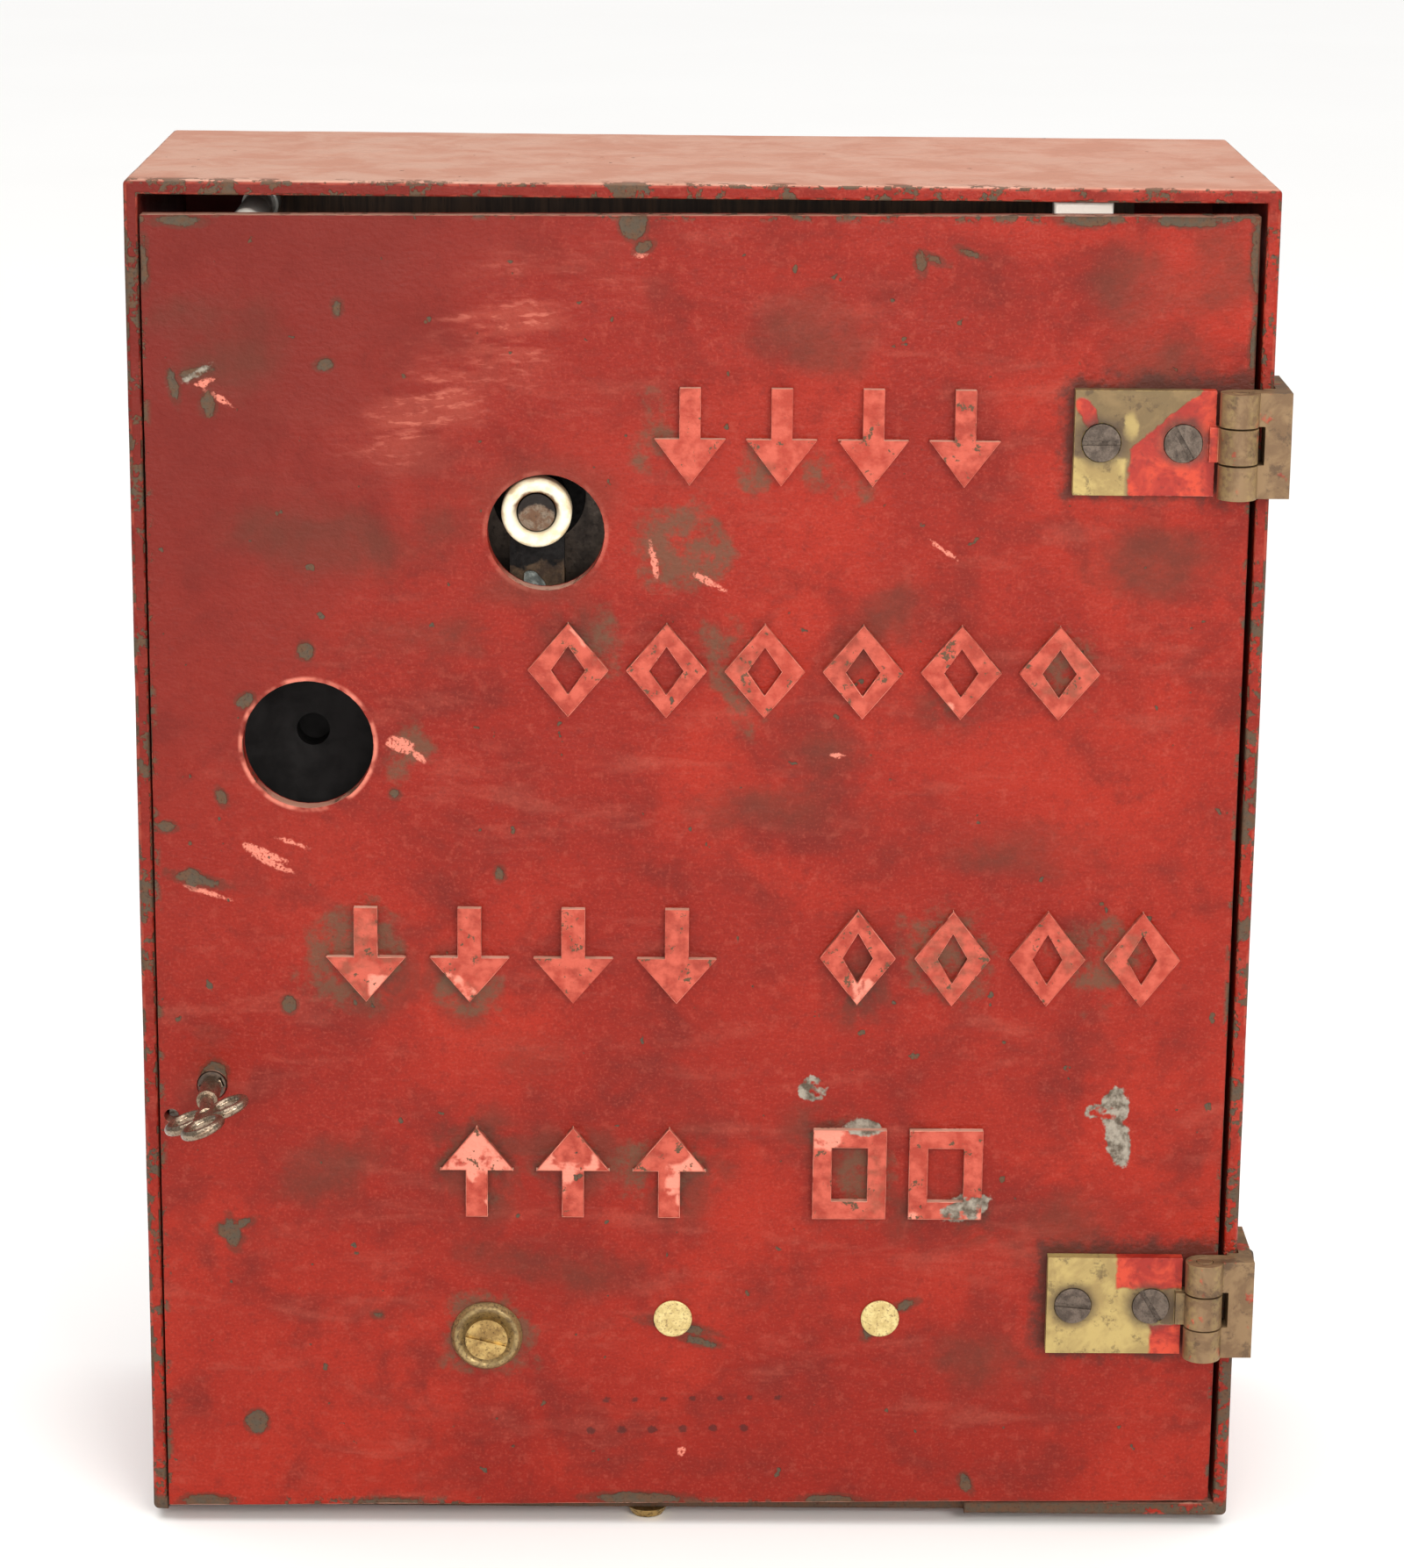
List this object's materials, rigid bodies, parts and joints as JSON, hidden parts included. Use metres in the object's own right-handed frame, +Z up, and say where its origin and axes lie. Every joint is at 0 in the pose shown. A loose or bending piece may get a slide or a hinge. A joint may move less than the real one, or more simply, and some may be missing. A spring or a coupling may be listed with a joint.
{
  "type": "street fire alarm box",
  "caption": "Rectangular cast case with a hinged door, two round openings, lock and key, inner pull lever and spring driven signal movement.",
  "frame": {"origin": "centre of the flat back face, which is also the centre of the four wall bolt holes", "axes": "+X to the right seen from the door side, +Y from the door to the wall, +Z up"},
  "size_m": [0.22, 0.1166, 0.2688],
  "materials": {
    "red_paint": "worn brushed enamel, chipped to brown iron",
    "hinge_brass": "patinated, with paint remains",
    "brass": "dulled",
    "steel": "dulled",
    "dark_screws": "oxidised",
    "key_nickel": "tarnished",
    "black_iron": "blackened",
    "ivory": "polished bone",
    "porcelain": "glazed porcelain",
    "hard_rubber": "hard rubber",
    "board_wood": "varnished",
    "wire_cover": "braided cover"
  },
  "bodies": {
    "case": {"arrester_base": "porcelain", "arrester_plates": "brass", "arrester_screws": "steel", "binding_posts": "brass", "board_screws": "brass", "brass_posts": "brass", "cable_bushing": "hard_rubber", "case_hinge_lower": "hinge_brass", "case_hinge_screws": "dark_screws", "case_hinge_upper": "hinge_brass", "case_shell": "red_paint", "click_screw": "steel", "click_spring": "steel", "contact_block": "hard_rubber", "contact_screws": "steel", "fixed_contact": "brass", "floor_screws": "brass", "guide_collar": "ivory", "guide_sleeve": "black_iron", "hinge_pins": "hinge_brass", "lever_spring": "steel", "lever_stud": "steel", "line_wires": "wire_cover", "mounting_board": "board_wood", "movement_back_plate": "brass", "movement_feet": "steel", "movement_front_plate": "brass", "movement_nuts": "steel", "movement_pillars": "steel", "porcelain_knob": "porcelain", "spring_post": "steel", "terminal_block": "hard_rubber"},
    "door": {"door_panel": "red_paint", "door_hinge_upper": "hinge_brass", "door_hinge_lower": "hinge_brass", "door_hinge_screws": "dark_screws", "dished_washer": "brass", "bracket_screw": "brass", "bracket_rivets": "brass", "inner_bracket": "steel", "lock_case": "brass", "lock_screws": "steel"},
    "plug": {"lock_plug": "brass"},
    "bolt": {"lock_bolt": "brass"},
    "key": {"door_key": "key_nickel"},
    "barrel": {"spring_barrel": "brass", "great_wheel": "brass", "mainspring": "steel"},
    "winding": {"winding_arbor": "steel", "ratchet_wheel": "steel"},
    "pawl": {"click": "steel"},
    "second_shaft": {"second_arbor": "steel", "second_wheel": "brass", "code_wheel": "brass"},
    "fly": {"fly_arbor": "steel", "fly_vane": "brass"},
    "lever": {"pull_lever": "black_iron", "handle_socket": "black_iron"},
    "contact": {"contact_spring": "brass"}
  },
  "joints": [
    {"name": "door_hinge", "type": "hinge", "parent": "case", "child": "door", "pos_m": [0.1008, -0.0899, 0], "axis": [0, 0, 1], "range_deg": [0, 150]},
    {"name": "key_turn", "type": "hinge", "parent": "door", "child": "plug", "pos_m": [-0.0944, -0.08, -0.0431], "axis": [0, 1, 0], "range_deg": [0, 90]},
    {"name": "bolt_throw", "type": "slide", "parent": "door", "child": "bolt", "axis": [-1, 0, 0], "range_m": [0, 0.005]},
    {"name": "key_withdraw", "type": "slide", "parent": "plug", "child": "key", "axis": [0, -1, 0], "range_m": [0, 0.03]},
    {"name": "barrel_turn", "type": "hinge", "parent": "case", "child": "barrel", "pos_m": [-0.031, -0.045, 0.071], "axis": [0, 1, 0], "continuous": true},
    {"name": "second_turn", "type": "hinge", "parent": "case", "child": "second_shaft", "pos_m": [-0.0121, -0.045, 0.04848], "axis": [0, 1, 0], "continuous": true},
    {"name": "fly_turn", "type": "hinge", "parent": "case", "child": "fly", "pos_m": [0.0059, -0.045, 0.03766], "axis": [0, 1, 0], "continuous": true},
    {"name": "winding_turn", "type": "hinge", "parent": "case", "child": "winding", "pos_m": [-0.031, -0.065, 0.071], "axis": [0, 1, 0], "continuous": true},
    {"name": "click_lift", "type": "hinge", "parent": "case", "child": "pawl", "pos_m": [-0.049, -0.062, 0.0805], "axis": [0, -1, 0], "range_deg": [0, 6], "stiffness_Nm_per_rad": 0.01, "springref_deg": -8.59},
    {"name": "lever_pull", "type": "hinge", "parent": "case", "child": "lever", "pos_m": [-0.036, -0.07, 0.014], "axis": [0, -1, 0], "range_deg": [0, 18], "stiffness_Nm_per_rad": 0.4, "springref_deg": -20.05, "deforming": ["lever_spring"]},
    {"name": "contact_flex", "type": "hinge", "parent": "case", "child": "contact", "pos_m": [0.0232, -0.06, 0.06633], "axis": [0, 1, 0], "range_deg": [0, 3.5], "stiffness_Nm_per_rad": 0.03, "springref_deg": -5.73}
  ],
  "couplings": [
    {"joint": "key_turn", "follows": "bolt_throw", "rad_per_m": 314.16},
    {"joint": "second_turn", "follows": "barrel_turn", "ratio": -6},
    {"joint": "fly_turn", "follows": "barrel_turn", "ratio": 24}
  ]
}
